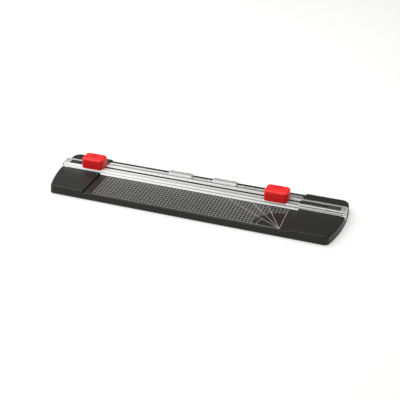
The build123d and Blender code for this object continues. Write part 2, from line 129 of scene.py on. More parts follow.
bpy.context.scene.view_settings.view_transform = "Standard"
world = bpy.data.worlds.new("white_room")
bpy.context.scene.world = world
world.use_nodes = True
sky = world.node_tree
sky.nodes.clear()
ray = add(sky, "ShaderNodeLightPath")
seen = add(sky, "ShaderNodeMath", operation="MAXIMUM",
           links={0: ray.outputs["Is Camera Ray"], 1: ray.outputs["Is Transmission Ray"]})
unseen = add(sky, "ShaderNodeMix", data_type="FLOAT", values={2: world_light, 3: gloss_light},
             links={0: ray.outputs["Is Glossy Ray"]})
strength = add(sky, "ShaderNodeMix", data_type="FLOAT", values={3: 1.0},
               links={0: seen.outputs[0], 2: unseen.outputs[0]})
room = add(sky, "ShaderNodeBackground", values={"Color": white_light},
           links={"Strength": strength.outputs[0]})
add(sky, "ShaderNodeOutputWorld", links={"Surface": room.outputs[0]})

lamp = bpy.data.objects.new("softbox", bpy.data.lights.new("softbox", "AREA"))
bpy.context.scene.collection.objects.link(lamp)
lamp.data.shape = "SQUARE"
lamp.data.size = lamp_size
lamp.data.energy = lamp_power
lamp.location = lamp_place
lamp.rotation_euler = (-lamp_place).to_track_quat("-Z", "Y").to_euler()
print("lamp:", lamp_power, "W,", lamp_size, "m square")

# %% [markdown]
# Colours are written the way that a paint chart gives them, as sRGB hex values, but shaders add
# up light, which is linear. One function makes the step between the two. Another one starts a
# finish: a material with a Principled shader, its colour, and each input that is the same all
# over the surface.


# %% Colours, and the start of a finish
def linear(hex_colour):
    """Linear RGBA of a colour written as an sRGB hex value."""
    channels = [int(hex_colour[i:i + 2], 16) / 255 for i in (1, 3, 5)]
    light = [c / 12.92 if c <= 0.04045 else ((c + 0.055) / 1.055) ** 2.4 for c in channels]
    return (*light, 1.0)


def start_finish(name, colour, values):
    """New material with one Principled shader. Returns the material, its tree and the shader."""
    material = bpy.data.materials.new(name)
    material.use_nodes = True
    tree = material.node_tree
    tree.nodes.clear()
    shader = add(tree, "ShaderNodeBsdfPrincipled", values={"Base Color": linear(colour), **values})
    add(tree, "ShaderNodeOutputMaterial", links={"Surface": shader.outputs[0]})
    return material, tree, shader


print("a mid grey in linear light:", [round(c, 3) for c in linear("#808080")[:3]])

# %% [markdown]
# The floor is a sheet of pale paper. Lit at this level it would show a light grey, so a little
# emission, for camera, mirror and see-through rays only, lifts it to white. Where the object
# keeps light off the paper the sum stays lower, and that is the shadow.

# %% Floor
floor_half = 6.0
floor_lift = 0.4

floor_mesh = bpy.data.meshes.new("floor")
floor_mesh.from_pydata(
    [(-floor_half, -floor_half, 0), (floor_half, -floor_half, 0),
     (floor_half, floor_half, 0), (-floor_half, floor_half, 0)],
    [], [(0, 1, 2, 3)],
)
floor = bpy.data.objects.new("floor", floor_mesh)
bpy.context.scene.collection.objects.link(floor)
paper, tree, shader = start_finish("pale_paper", "#c9c9c8", {
    "Roughness": 0.9, "Specular IOR Level": 0.0, "Emission Color": white_light})
ray = add(tree, "ShaderNodeLightPath")
mirror = add(tree, "ShaderNodeMath", operation="MAXIMUM",
             links={0: ray.outputs["Is Camera Ray"], 1: ray.outputs["Is Glossy Ray"]})
seen = add(tree, "ShaderNodeMath", operation="MAXIMUM",
           links={0: mirror.outputs[0], 1: ray.outputs["Is Transmission Ray"]})
lift = add(tree, "ShaderNodeMath", operation="MULTIPLY", values={1: floor_lift},
           links={0: seen.outputs[0]})
tree.links.new(lift.outputs[0], shader.inputs["Emission Strength"])
floor.data.materials.append(paper)
print("floor:", 2 * floor_half, "m across")

# %% [markdown]
# The frame's solids only need a finish, which goes into each material slot of a node. Two things
# come back on many finishes, so each gets a function: a grain, which is noise in the bump, and
# a shine that changes from patch to patch, which is noise in the roughness. Both read Object
# coordinates, so that they stay with their piece. Their sizes are real ones, because noise of
# scale 1 has patches of about a metre, and a scale of 1 over a size has patches of that size.


# %% Dress a node, and give a finish grain or patches
def wear(node_names, material):
    """Give some of the frame's nodes a finish."""
    for name in node_names:
        slots = nodes[name].data.materials
        if not slots:
            slots.append(material)
        for index in range(len(slots)):
            slots[index] = material
    print(material.name, "on", ", ".join(node_names))


def grain(tree, shader, size, depth, detail):
    """Noise of a real size and depth in the shader's bump. Returns the bump."""
    place = add(tree, "ShaderNodeTexCoord")
    noise = add(tree, "ShaderNodeTexNoise", values={"Scale": 1 / size, "Detail": detail},
                links={"Vector": place.outputs["Object"]})
    bump = add(tree, "ShaderNodeBump", values={"Strength": 1.0, "Distance": depth},
               links={"Height": noise.outputs[0]})
    tree.links.new(bump.outputs[0], shader.inputs["Normal"])
    return bump


def patches(tree, shader, size, detail, least, most):
    """Roughness between least and most, in patches of a real size."""
    place = add(tree, "ShaderNodeTexCoord")
    noise = add(tree, "ShaderNodeTexNoise", values={"Scale": 1 / size, "Detail": detail},
                links={"Vector": place.outputs["Object"]})
    rough = add(tree, "ShaderNodeMapRange", values={"To Min": least, "To Max": most},
                links={"Value": noise.outputs[0]})
    tree.links.new(rough.outputs[0], shader.inputs["Roughness"])


print("grain:", grain.__doc__)

# %% [markdown]
# The base is moulded from black ABS in a tool with a spark-eroded wall. That leaves a fine
# pebbled grain, which makes the gloss soft: a broad pale sheen instead of a mirror image. The
# grain is about 0.3 mm across and 0.012 mm deep. From the picture's distance it is finer than a
# pixel, and only the soft sheen is left of it. Pits too fine for the bump swallow part of the
# shine, so the specular level is below the usual half. Slow patches vary the roughness a
# little, as hands do over the years.

# %% Black moulded ABS
grain_size = 0.3 * mm
grain_depth = 0.012 * mm
handling_size = 35.0 * mm

black_abs, tree, shader = start_finish("black_abs_spark_grain", "#171614", {
    "IOR": 1.5, "Specular IOR Level": 0.36})
grain(tree, shader, grain_size, grain_depth, detail=2.0)
patches(tree, shader, handling_size, detail=3.0, least=0.36, most=0.46)
wear(["base_shell"], black_abs)

# %% [markdown]
# The plate that closes the base from below is never seen in use, so it is made from a cheaper
# polystyrene with a coarser, duller grain. That gives a flat dark grey with hardly any shine.
# Voronoi cells, which meet in sharp ridges, look coarser than noise of the same size.

# %% Black polystyrene plate
plate_grain_size = 0.6 * mm
plate_grain_depth = 0.03 * mm

black_plate, tree, shader = start_finish("black_polystyrene_coarse_grain", "#1e1e1e", {
    "IOR": 1.59, "Roughness": 0.62})
place = add(tree, "ShaderNodeTexCoord")
cells = add(tree, "ShaderNodeTexVoronoi", values={"Scale": 1 / plate_grain_size},
            links={"Vector": place.outputs["Object"]})
bump = add(tree, "ShaderNodeBump", values={"Strength": 1.0, "Distance": plate_grain_depth},
           links={"Height": cells.outputs["Distance"]})
tree.links.new(bump.outputs[0], shader.inputs["Normal"])
wear(["bottom_plate"], black_plate)

# %% [markdown]
# The cutting strip is soft polypropylene, so that the wheel presses the paper into it without
# losing its edge. Each cut leaves a mark, and years of cuts turn the line beside the kerf pale.
# The distance from the line gives a mask for that, broken up by a noise that is stretched
# twenty times along X, as the cuts run.

# %% Cutting strip
strip_low, strip_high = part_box("cutting_strip")
cut_line = (strip_low.y + strip_high.y) / 2
strip_colour = "#2c2c2d"
scuff_colour = "#77777a"
scuff_reach = 1.4 * mm
scuff_size = 1.2 * mm
scuff_stretch = 20.0

strip_finish, tree, shader = start_finish("grey_polypropylene_strip", strip_colour, {
    "IOR": 1.49, "Roughness": 0.5})
place = add(tree, "ShaderNodeTexCoord")
axes = add(tree, "ShaderNodeSeparateXYZ", links={0: place.outputs["Object"]})
offset = add(tree, "ShaderNodeMath", operation="SUBTRACT", values={1: cut_line},
             links={0: axes.outputs["Y"]})
away = add(tree, "ShaderNodeMath", operation="ABSOLUTE", links={0: offset.outputs[0]})
beside = add(tree, "ShaderNodeMapRange",
             values={"From Min": 0.0, "From Max": scuff_reach, "To Min": 1.0, "To Max": 0.0},
             links={"Value": away.outputs[0]})
stretch = add(tree, "ShaderNodeMapping", values={"Scale": (1 / scuff_stretch, 1.0, 1.0)},
              links={"Vector": place.outputs["Object"]})
marks = add(tree, "ShaderNodeTexNoise", values={"Scale": 1 / scuff_size, "Detail": 3.0},
            links={"Vector": stretch.outputs[0]})
scuffed = add(tree, "ShaderNodeMath", operation="MULTIPLY",
              links={0: beside.outputs[0], 1: marks.outputs[0]})
shade = add(tree, "ShaderNodeMix", data_type="RGBA", links={0: scuffed.outputs[0]},
            values={6: linear(strip_colour), 7: linear(scuff_colour)})
tree.links.new(shade.outputs[2], shader.inputs["Base Color"])
wear(["cutting_strip"], strip_finish)

# %% [markdown]
# The rail is one moulding in clear acrylic, but it doesn't look like glass. Over the bed it is
# frosted, so it spreads the light of the room and shows nearly white. At its two ends the roof
# of the channel is polished, and the black block shows through. Whiteness is one number from 0,
# clear, to 1, frosted, and masks of place set it. The places are counted from the cut line,
# which lies under the middle of the slot.

# %% Clear rail: where it is frosted over the bed and along the front
rail_low, rail_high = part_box("clear_rail")
rail_colour = "#fcfcfa"
bar_front = cut_line - 7.2 * mm
bar_rear = cut_line + 10.4 * mm
frosted_end = 150.4 * mm
front_strip = 3.2 * mm
zone_blend = 1.0 * mm

clear_rail, tree, shader = start_finish("clear_acrylic_part_frosted", rail_colour, {
    "IOR": 1.49, "Emission Color": white_light})
place = add(tree, "ShaderNodeTexCoord")
axes = add(tree, "ShaderNodeSeparateXYZ", links={0: place.outputs["Object"]})
facing = add(tree, "ShaderNodeSeparateXYZ", links={0: place.outputs["Normal"]})
side = add(tree, "ShaderNodeMath", operation="ABSOLUTE", links={0: axes.outputs["X"]})
middle = add(tree, "ShaderNodeMapRange", interpolation_type="SMOOTHSTEP",
             values={"From Min": frosted_end - zone_blend, "From Max": frosted_end + zone_blend,
                     "To Min": 1.0, "To Max": 0.0}, links={"Value": side.outputs[0]})
front = add(tree, "ShaderNodeMath", operation="LESS_THAN", values={1: bar_front + front_strip},
            links={0: axes.outputs["Y"]})
print("bar from", round(bar_front / mm, 1), "to", round(bar_rear / mm, 1), "mm in Y")

# %% [markdown]
# Past the bed, the frame round each clear window is half frosted, on its upper faces only: the
# rim along the rear and the solid piece at each end.

# %% Clear rail: the frame of the end windows
rim_width = 4.2 * mm
left_piece = 12.3 * mm
right_piece = 7.9 * mm
top_skin = 1.6 * mm
frame_whiteness = 0.6

upper = add(tree, "ShaderNodeMath", operation="GREATER_THAN", values={1: rail_high.z - top_skin},
            links={0: axes.outputs["Z"]})
rim = add(tree, "ShaderNodeMath", operation="GREATER_THAN", values={1: bar_rear - rim_width},
          links={0: axes.outputs["Y"]})
left_end = add(tree, "ShaderNodeMath", operation="LESS_THAN", values={1: rail_low.x + left_piece},
               links={0: axes.outputs["X"]})
right_end = add(tree, "ShaderNodeMath", operation="GREATER_THAN",
                values={1: rail_high.x - right_piece}, links={0: axes.outputs["X"]})
window_frame = rim
for mask in (left_end, right_end):
    window_frame = add(tree, "ShaderNodeMath", operation="MAXIMUM",
                       links={0: window_frame.outputs[0], 1: mask.outputs[0]})
frame_top = add(tree, "ShaderNodeMath", operation="MULTIPLY",
                links={0: window_frame.outputs[0], 1: upper.outputs[0]})
half_white = add(tree, "ShaderNodeMath", operation="MULTIPLY", values={1: frame_whiteness},
                 links={0: frame_top.outputs[0]})
white = middle
for mask in (front, half_white):
    white = add(tree, "ShaderNodeMath", operation="MAXIMUM",
                links={0: white.outputs[0], 1: mask.outputs[0]})
print("rail top at", round(rail_high.z / mm, 2), "mm")

# %% [markdown]
# Along every edge of the bar the plastic bends the view down to the black base, so the edges show
# as thin grey lines in the white. A clear line would let the white room behind the machine shine
# through, so the lines stay frosted and are painted grey instead, a painted shade. They are found
# by place. At the front they lie along the upper edge and on the ledge, and over the end blocks on
# the wall below the edge, but only on what faces forward. This painted shade is darker at the
# right, where less light falls on the rail.

# %% Clear rail: its front lines
edge_width = 2.1 * mm
ledge_line = 14.0 * mm
line_reach = 0.6 * mm
wall_reach = 1.0 * mm
front_turn = -0.5
front_grey_left = 0.3
front_grey_right = 0.82

front_line = add(tree, "ShaderNodeMath", operation="COMPARE", links={0: axes.outputs["Y"]},
                 values={1: bar_front, 2: edge_width})
front_edge = add(tree, "ShaderNodeMath", operation="MULTIPLY",
                 links={0: front_line.outputs[0], 1: upper.outputs[0]})
over_bed = add(tree, "ShaderNodeMath", operation="MULTIPLY",
               links={0: front_edge.outputs[0], 1: middle.outputs[0]})
over_blocks = add(tree, "ShaderNodeMath", operation="SUBTRACT", values={0: 1.0},
                  links={1: middle.outputs[0]})
below_edge = add(tree, "ShaderNodeMath", operation="COMPARE", links={0: axes.outputs["Z"]},
                 values={1: rail_high.z - top_skin, 2: wall_reach})
end_wall = add(tree, "ShaderNodeMath", operation="LESS_THAN", values={1: front_turn},
               links={0: facing.outputs["Y"]})
for mask in (below_edge, over_blocks):
    end_wall = add(tree, "ShaderNodeMath", operation="MULTIPLY",
                   links={0: end_wall.outputs[0], 1: mask.outputs[0]})
ledge = add(tree, "ShaderNodeMath", operation="COMPARE", links={0: axes.outputs["Z"]},
            values={1: ledge_line, 2: line_reach})
lines = over_bed
for mask in (end_wall, ledge):
    lines = add(tree, "ShaderNodeMath", operation="MAXIMUM",
                links={0: lines.outputs[0], 1: mask.outputs[0]})
# painted shade of the front lines, stronger towards the right
shade_to_right = add(tree, "ShaderNodeMapRange", links={"Value": axes.outputs["X"]},
               values={"From Min": rail_low.x, "From Max": rail_high.x,
                       "To Min": front_grey_left, "To Max": front_grey_right})
painted_line_shade = add(tree, "ShaderNodeMath", operation="MULTIPLY",
                links={0: lines.outputs[0], 1: shade_to_right.outputs[0]})
print("front lines:", round(edge_width / mm, 1), "mm to each side of the edge")

# %% [markdown]
# The left end is a nose of thick clear plastic. A pale grey is painted on it, a painted shade that
# fades in towards its tip: over 30 mm on top, over 11 mm in front. The wall that faces left has
# the darkest painted line. Through the clear top it is a grey outline.

# %% Clear rail: its left nose
nose_top_length = 30.0 * mm
nose_front_length = 11.0 * mm
nose_shade = 0.35
tip_turn = -0.25
tip_shade = 0.9

# painted shade on the nose, stronger towards the tip
nose_top, nose_front = [
    add(tree, "ShaderNodeMapRange", links={"Value": axes.outputs["X"]},
        values={"From Min": rail_low.x + length, "From Max": rail_low.x, "To Max": nose_shade})
    for length in (nose_top_length, nose_front_length)
]
nose_skin = add(tree, "ShaderNodeMath", operation="MULTIPLY",
                links={0: nose_top.outputs[0], 1: upper.outputs[0]})
to_left = add(tree, "ShaderNodeMath", operation="LESS_THAN", values={1: tip_turn},
              links={0: facing.outputs["X"]})
tip = add(tree, "ShaderNodeMath", operation="MULTIPLY",
          links={0: to_left.outputs[0], 1: left_end.outputs[0]})
tip_line = add(tree, "ShaderNodeMath", operation="MULTIPLY", values={1: tip_shade},
               links={0: tip.outputs[0]})
front_grey = painted_line_shade
for mask in (tip_line, nose_skin, nose_front):
    front_grey = add(tree, "ShaderNodeMath", operation="MAXIMUM",
                     links={0: front_grey.outputs[0], 1: mask.outputs[0]})
print("nose from", round(rail_low.x / mm, 1), "mm in X")

# %% [markdown]
# At the rear the painted grey lines, a painted shade as at the front, lie along the upper edge and
# on the step of the rear foot. They are as dark at the left as at the right, and end where the bed
# ends.

# %% Clear rail: its rear lines
rear_width = 1.8 * mm
foot_width = 4.8 * mm
foot_reach = 1.6 * mm
rear_shade = 0.58

# painted shade along the rear edge and the foot step
rear_edge = add(tree, "ShaderNodeMath", operation="COMPARE", links={0: axes.outputs["Y"]},
                values={1: bar_rear, 2: rear_width})
foot_step = add(tree, "ShaderNodeMath", operation="COMPARE", links={0: axes.outputs["Y"]},
                values={1: rail_high.y - foot_width, 2: foot_reach})
rear_lines = add(tree, "ShaderNodeMath", operation="MAXIMUM",
                 links={0: rear_edge.outputs[0], 1: foot_step.outputs[0]})
rear_share = add(tree, "ShaderNodeMath", operation="MULTIPLY", values={1: rear_shade},
                 links={0: middle.outputs[0]})
rear_tint = add(tree, "ShaderNodeMath", operation="MULTIPLY",
                links={0: rear_lines.outputs[0], 1: rear_share.outputs[0]})
grey = add(tree, "ShaderNodeMath", operation="MAXIMUM",
           links={0: front_grey.outputs[0], 1: rear_tint.outputs[0]})
print("foot step at", round((rail_high.y - foot_width) / mm, 1), "mm in Y")

# %% [markdown]
# From left to right the plastic is made less white, a painted shade for the light that is stronger
# at the left, and the thin flange behind the bar loses the most. Only the wall at the right end is
# made whiter than the plastic round it, a painted light for the light of the table that it
# catches.

# %% Clear rail: along its length
flange_gap = 0.1 * mm
bar_right = 0.44
flange_left = 0.95
flange_right = 0.0
end_turn = 0.2
end_whiteness = 0.8

flange = add(tree, "ShaderNodeMath", operation="GREATER_THAN", values={1: bar_rear + flange_gap},
             links={0: axes.outputs["Y"]})
share_left = add(tree, "ShaderNodeMapRange", values={"To Min": 1.0, "To Max": flange_left},
                 links={"Value": flange.outputs[0]})
share_right = add(tree, "ShaderNodeMapRange", links={"Value": flange.outputs[0]},
                  values={"To Min": bar_right, "To Max": flange_right})
# painted shade: the whiteness falls from left to right
along = add(tree, "ShaderNodeMapRange", values={"From Min": rail_low.x, "From Max": rail_high.x},
            links={"Value": axes.outputs["X"], "To Min": share_left.outputs[0],
                   "To Max": share_right.outputs[0]})
shaded_whiteness = add(tree, "ShaderNodeMath", operation="MULTIPLY",
                  links={0: white.outputs[0], 1: along.outputs[0]})
# painted light: the wall at the right end is made whiter
end_face = add(tree, "ShaderNodeMath", operation="GREATER_THAN", values={1: end_turn},
               links={0: facing.outputs["X"]})
end_skin = add(tree, "ShaderNodeMath", operation="MULTIPLY",
               links={0: end_face.outputs[0], 1: right_end.outputs[0]})
painted_end_light = add(tree, "ShaderNodeMath", operation="MULTIPLY", values={1: end_whiteness},
                links={0: end_skin.outputs[0]})
whiteness = add(tree, "ShaderNodeMath", operation="MAXIMUM",
                links={0: shaded_whiteness.outputs[0], 1: painted_end_light.outputs[0]})
print("white left at the right end:", bar_right, "of the bar,", flange_right, "of the flange")

# %% [markdown]
# The walls of the slot and of the channel under it, which the slider's shoe rubs on, are polished.
# They are painted dark and let nothing through, a painted shade and a painted reflection of the
# black bed below them, so they show as a dark band along the slot. It leans to the rear, because
# the rear wall is the one that is seen from the front. The slot is open at the top, and the
# channel ends under its roof.

# %% Clear rail: its polished slot and channel
slot_end = 189.1 * mm
slot_wall = 1.95 * mm
slot_lean = 0.2 * mm
channel_wall = 4.9 * mm
roof = 1.5 * mm

hollows = []
for half_width, start, end, top in (
    (slot_wall, -slot_end, slot_end, rail_high.z + roof),
    (channel_wall, rail_low.x + left_piece, rail_high.x - right_piece, rail_high.z - roof),
):
    hollow = add(tree, "ShaderNodeMath", operation="COMPARE", links={0: axes.outputs["Y"]},
                 values={1: cut_line + slot_lean, 2: half_width})
    between = add(tree, "ShaderNodeMath", operation="COMPARE", links={0: axes.outputs["X"]},
                  values={1: (start + end) / 2, 2: (end - start) / 2})
    under = add(tree, "ShaderNodeMath", operation="LESS_THAN", values={1: top},
                links={0: axes.outputs["Z"]})
    for mask in (between, under):
        hollow = add(tree, "ShaderNodeMath", operation="MULTIPLY",
                     links={0: hollow.outputs[0], 1: mask.outputs[0]})
    hollows.append(hollow)
# painted shade: the walls of the slot and the channel are painted dark and let nothing through
shaded_slot = add(tree, "ShaderNodeMath", operation="MAXIMUM",
               links={0: hollows[0].outputs[0], 1: hollows[1].outputs[0]})
unshaded_slot = add(tree, "ShaderNodeMath", operation="SUBTRACT", values={0: 1.0},
                   links={1: shaded_slot.outputs[0]})
frosted = add(tree, "ShaderNodeMath", operation="MULTIPLY",
              links={0: whiteness.outputs[0], 1: unshaded_slot.outputs[0]})
print("dark band:", round(2 * slot_wall / mm, 1), "mm wide")

# %% [markdown]
# Whiteness sets two inputs of the shader: frosted plastic lets no picture through and is rough. It
# also carries light. What falls on its top leaves again at the front, which is why the front wall
# is as bright as the top and far brighter than the front of a cap. To follow that light inside the
# plastic costs much time, so a painted glow, a little emission on what faces forward, stands for
# it. The grey lines and the dark slot walls, all painted shade, are mixed into the colour here.

# %% Clear rail: its shader
dark_colour = "#1c1c1c"
clear_roughness = 0.04
frosted_roughness = 0.25
frosted_clearness = 0.05
painted_front_glow = 0.62

clearness = add(tree, "ShaderNodeMapRange", values={"To Min": 1.0, "To Max": frosted_clearness},
                links={"Value": frosted.outputs[0]})
through = add(tree, "ShaderNodeMath", operation="MULTIPLY",
              links={0: clearness.outputs[0], 1: unshaded_slot.outputs[0]})
rough = add(tree, "ShaderNodeMapRange", links={"Value": frosted.outputs[0]},
            values={"To Min": clear_roughness, "To Max": frosted_roughness})
# painted shade: the slot walls and the edge lines are mixed towards a dark grey
dark = add(tree, "ShaderNodeMath", operation="MAXIMUM",
           links={0: shaded_slot.outputs[0], 1: grey.outputs[0]})
shade = add(tree, "ShaderNodeMix", data_type="RGBA", links={0: dark.outputs[0]},
            values={6: linear(rail_colour), 7: linear(dark_colour)})
# painted glow on what faces forward
glow = add(tree, "ShaderNodeMapRange", links={"Value": facing.outputs["Y"]},
           values={"From Min": 0.0, "From Max": -1.0, "To Max": painted_front_glow})
not_dark = add(tree, "ShaderNodeMath", operation="SUBTRACT", values={0: 1.0},
               links={1: dark.outputs[0]})
for share in (frosted, not_dark):
    glow = add(tree, "ShaderNodeMath", operation="MULTIPLY",
               links={0: glow.outputs[0], 1: share.outputs[0]})
tree.links.new(glow.outputs[0], shader.inputs["Emission Strength"])
tree.links.new(shade.outputs[2], shader.inputs["Base Color"])
tree.links.new(through.outputs[0], shader.inputs["Transmission Weight"])
tree.links.new(rough.outputs[0], shader.inputs["Roughness"])
wear(["clear_rail"], clear_rail)
print("rail finish:", len(tree.nodes), "nodes")

# %% [markdown]
# The two finger grips are moulded with a blasted surface all over and with low ribs across, so
# fingers don't slip when they lift the rail. They let light in but show no picture of what lies
# under them. Their colour is a painted shade of what lies under them: the front of a grip, over
# the pale flange, is painted nearly white, and its rear, over the black edge of the base, a warm
# mid grey. A ramp along Y mixes the two. The ribs are 2.3 mm apart, a wave along X in the bump
# and, weaker, in the mix, where they paint a little light and shade. A wave texture of scale 1
# comes back every pi / 10 metres, which gives its scale. As on the rail, a painted glow, a little
# emission on what faces forward, stands for light carried inside the plastic. The ramp takes the
# place of the start colour, which is about its mean and is there for a viewer that can't read
# these nodes.

# %% Frosted finger grips
blast_size = 0.25 * mm
blast_depth = 0.02 * mm
rib_pitch = 2.3 * mm
rib_depth = 0.25 * mm
rib_share = -0.3
grip_glow = 0.4
wave_period = math.pi / 10
grip_low, grip_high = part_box("finger_grip_left")

frosted_acrylic, tree, shader = start_finish("frosted_acrylic_blasted", "#d9d8d2", {
    "IOR": 1.49, "Roughness": 0.4, "Transmission Weight": 0.45, "Emission Color": white_light})
place = add(tree, "ShaderNodeTexCoord")
axes = add(tree, "ShaderNodeSeparateXYZ", links={0: place.outputs["Object"]})
facing = add(tree, "ShaderNodeSeparateXYZ", links={0: place.outputs["Normal"]})
blasted = grain(tree, shader, blast_size, blast_depth, detail=1.0)
ribs = add(tree, "ShaderNodeTexWave", bands_direction="X",
           links={"Vector": place.outputs["Object"]}, values={"Scale": wave_period / rib_pitch})
bump = add(tree, "ShaderNodeBump", values={"Strength": 1.0, "Distance": rib_depth},
           links={"Height": ribs.outputs["Fac"], "Normal": blasted.outputs[0]})
# painted shade: nearly white at the front of a grip, mid grey at its rear
to_rear = add(tree, "ShaderNodeMapRange", interpolation_type="SMOOTHSTEP",
              values={"From Min": grip_low.y, "From Max": (grip_low.y + grip_high.y) / 2},
              links={"Value": axes.outputs["Y"]})
mixed = add(tree, "ShaderNodeMath", operation="MULTIPLY_ADD", use_clamp=True,
            links={0: ribs.outputs["Fac"], 2: to_rear.outputs[0]}, values={1: rib_share})
shade = add(tree, "ShaderNodeMix", data_type="RGBA", links={0: mixed.outputs[0]},
            values={6: linear("#f6f6f2"), 7: linear("#bfbeb8")})
# painted glow on what faces forward
glow = add(tree, "ShaderNodeMapRange", links={"Value": facing.outputs["Y"]},
           values={"From Min": 0.0, "From Max": -1.0, "To Max": grip_glow})
tree.links.new(glow.outputs[0], shader.inputs["Emission Strength"])
tree.links.new(shade.outputs[2], shader.inputs["Base Color"])
tree.links.new(bump.outputs[0], shader.inputs["Normal"])
wear(["finger_grip_left", "finger_grip_right"], frosted_acrylic)

# %% [markdown]
# The caps are glossy red ABS from a polished tool, the only bright colour on the machine, so a
# hand finds them at once. Each has a mark sunk in its top, and the floor of the mark is a darker
# red. That floor is the one face of a cap that looks straight up from below the top, so height and
# normal together find it. A slow noise in the bump is the slight sink of a moulded wall.
# The caps are handled all day, and the film that fingers leave takes off part of the shine, so
# the specular level is below the usual half. Else the white table would turn the fronts pink.

# %% Red ABS caps
sliders = ("cutter", "perforator")
cap_low, cap_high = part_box("cutter_cap")
cap_colour = "#ff2224"
mark_colour = "#bc141a"
mark_depth = 0.4 * mm
straight_up = 0.99
sink_size = 14.0 * mm
sink_depth = 0.05 * mm

red_abs, tree, shader = start_finish("red_abs_polished", cap_colour, {
    "IOR": 1.52, "Roughness": 0.32, "Specular IOR Level": 0.36})
place = add(tree, "ShaderNodeTexCoord")
axes = add(tree, "ShaderNodeSeparateXYZ", links={0: place.outputs["Object"]})
facing = add(tree, "ShaderNodeSeparateXYZ", links={0: place.outputs["Normal"]})
below = add(tree, "ShaderNodeMath", operation="LESS_THAN", values={1: cap_high.z - mark_depth / 2},
            links={0: axes.outputs["Z"]})
level = add(tree, "ShaderNodeMath", operation="GREATER_THAN", values={1: straight_up},
            links={0: facing.outputs["Z"]})
marked = add(tree, "ShaderNodeMath", operation="MULTIPLY",
            links={0: below.outputs[0], 1: level.outputs[0]})
shade = add(tree, "ShaderNodeMix", data_type="RGBA", links={0: marked.outputs[0]},
            values={6: linear(cap_colour), 7: linear(mark_colour)})
tree.links.new(shade.outputs[2], shader.inputs["Base Color"])
grain(tree, shader, sink_size, sink_depth, detail=1.0)
wear([f"{slider}_cap" for slider in sliders], red_abs)
print("caps:", round((cap_high.x - cap_low.x) / mm, 1), "mm long")

# %% [markdown]
# What slides on the rail is acetal, a hard waxy plastic that needs no oil. It is the same red a
# shade darker, with a soft silky shine and no grain. Patches 4 mm across are rubbed shinier.

# %% Red acetal sliding pieces
rubbed_size = 4.0 * mm

red_acetal, tree, shader = start_finish("red_acetal_silky", "#c8181a", {"IOR": 1.48})
patches(tree, shader, rubbed_size, detail=2.0, least=0.38, most=0.5)
wear([f"{slider}_{piece}" for slider in sliders
      for piece in ("slide_plate", "slide_shoe", "blade_holder")], red_acetal)

# %% [markdown]
# The screws, the hinge pin and the axles are steel with a thin coat of zinc. Zinc from a bath
# dries with a faint blue cast and small cloudy patches that are duller than the rest.

# %% Zinc plated steel
cloud_size = 1.5 * mm

zinc, tree, shader = start_finish("zinc_plated_steel", "#c3c8cc", {"Metallic": 1.0})
patches(tree, shader, cloud_size, detail=2.0, least=0.24, most=0.4)
wear(["base_screws", "hinge_pin"] + [f"{slider}_{piece}" for slider in sliders
                                     for piece in ("shoe_screws", "axle")], zinc)

# %% [markdown]
# The wheels are hardened steel, ground flat on both sides while they turn. The wheel of the
# grinder leaves fine rings round the axle, 0.12 mm apart, which draw a highlight out into a
# narrow fan from the axle. Each wheel has its own material, with the rings about its own centre,
# which the frame's box gives.


# %% Ground blade steel
def ground_steel(node):
    """Finish of one wheel, with grinding rings about its own axle."""
    low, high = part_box(node)
    ring_pitch = 0.12 * mm
    ring_depth = 0.002 * mm
    material, tree, shader = start_finish(f"ground_steel_of_{node}", "#cfd2d4", {
        "Metallic": 1.0, "Roughness": 0.2})
    place = add(tree, "ShaderNodeTexCoord")
    centred = add(tree, "ShaderNodeVectorMath", operation="SUBTRACT",
                  links={0: place.outputs["Object"]}, values={1: (low + high) / 2})
    rings = add(tree, "ShaderNodeTexWave", wave_type="RINGS", rings_direction="Y",
                links={"Vector": centred.outputs[0]},
                values={"Scale": wave_period / ring_pitch, "Distortion": 0.3})
    bump = add(tree, "ShaderNodeBump", values={"Strength": 1.0, "Distance": ring_depth},
               links={"Height": rings.outputs["Fac"]})
    tree.links.new(bump.outputs[0], shader.inputs["Normal"])
    wear([node], material)


for slider in sliders:
    ground_steel(f"{slider}_wheel")

# %% [markdown]
# The springs are drawn wire, a darker grey than plated steel. A thin film of oil, which is a coat,
# adds a sharp shine over the dull one. A coil spring gets shorter when its cap is pressed, which a
# rigid solid can't do. A copy of each pair rides on the carriage in place of the hidden solid,
# with the same shape.

# %% Spring wire
wire, tree, shader = start_finish("oiled_spring_wire", "#8c8f93", {
    "Metallic": 1.0, "Roughness": 0.33, "Coat Weight": 0.3})
wear([f"{slider}_springs" for slider in sliders], wire)

for slider in sliders:
    rigid = f"{slider}_springs"
    springs = bpy.data.objects.new(f"{slider}_return_springs", nodes[rigid].data.copy())
    bpy.context.scene.collection.objects.link(springs)
    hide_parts(rigid)
    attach(springs, f"{slider}_carriage")
    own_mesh(springs)

# %% [markdown]
# The six feet are black rubber, cast with a fine matt skin. Rubber reflects almost nothing, so
# the roughness is high and the colour stays a flat near black.

# %% Rubber feet
skin_size = 0.4 * mm
skin_depth = 0.02 * mm

rubber, tree, shader = start_finish("black_rubber_matt", "#1a1a1a", {
    "IOR": 1.45, "Roughness": 0.88})
grain(tree, shader, skin_size, skin_depth, detail=3.0)
wear([name for name in nodes if name.startswith("foot_")], rubber)

# %% [markdown]
# The bed carries a printed grid of 5 mm squares, with a protractor in its front right corner:
# rays at 30, 45 and 60 degrees from the front line, and a short arc near the corner, where a
# quarter disc is left free of squares. The real print is pale ink from a soft silicone pad, in
# one layer a few hundredths of a millimetre thick. All of it is one thing repeated, a bar, so
# one Geometry Nodes tree makes it. The sizes are its named inputs. Every bar is the same cube,
# 1 m long from its end, so the scale of an instance is the real length, width and height.

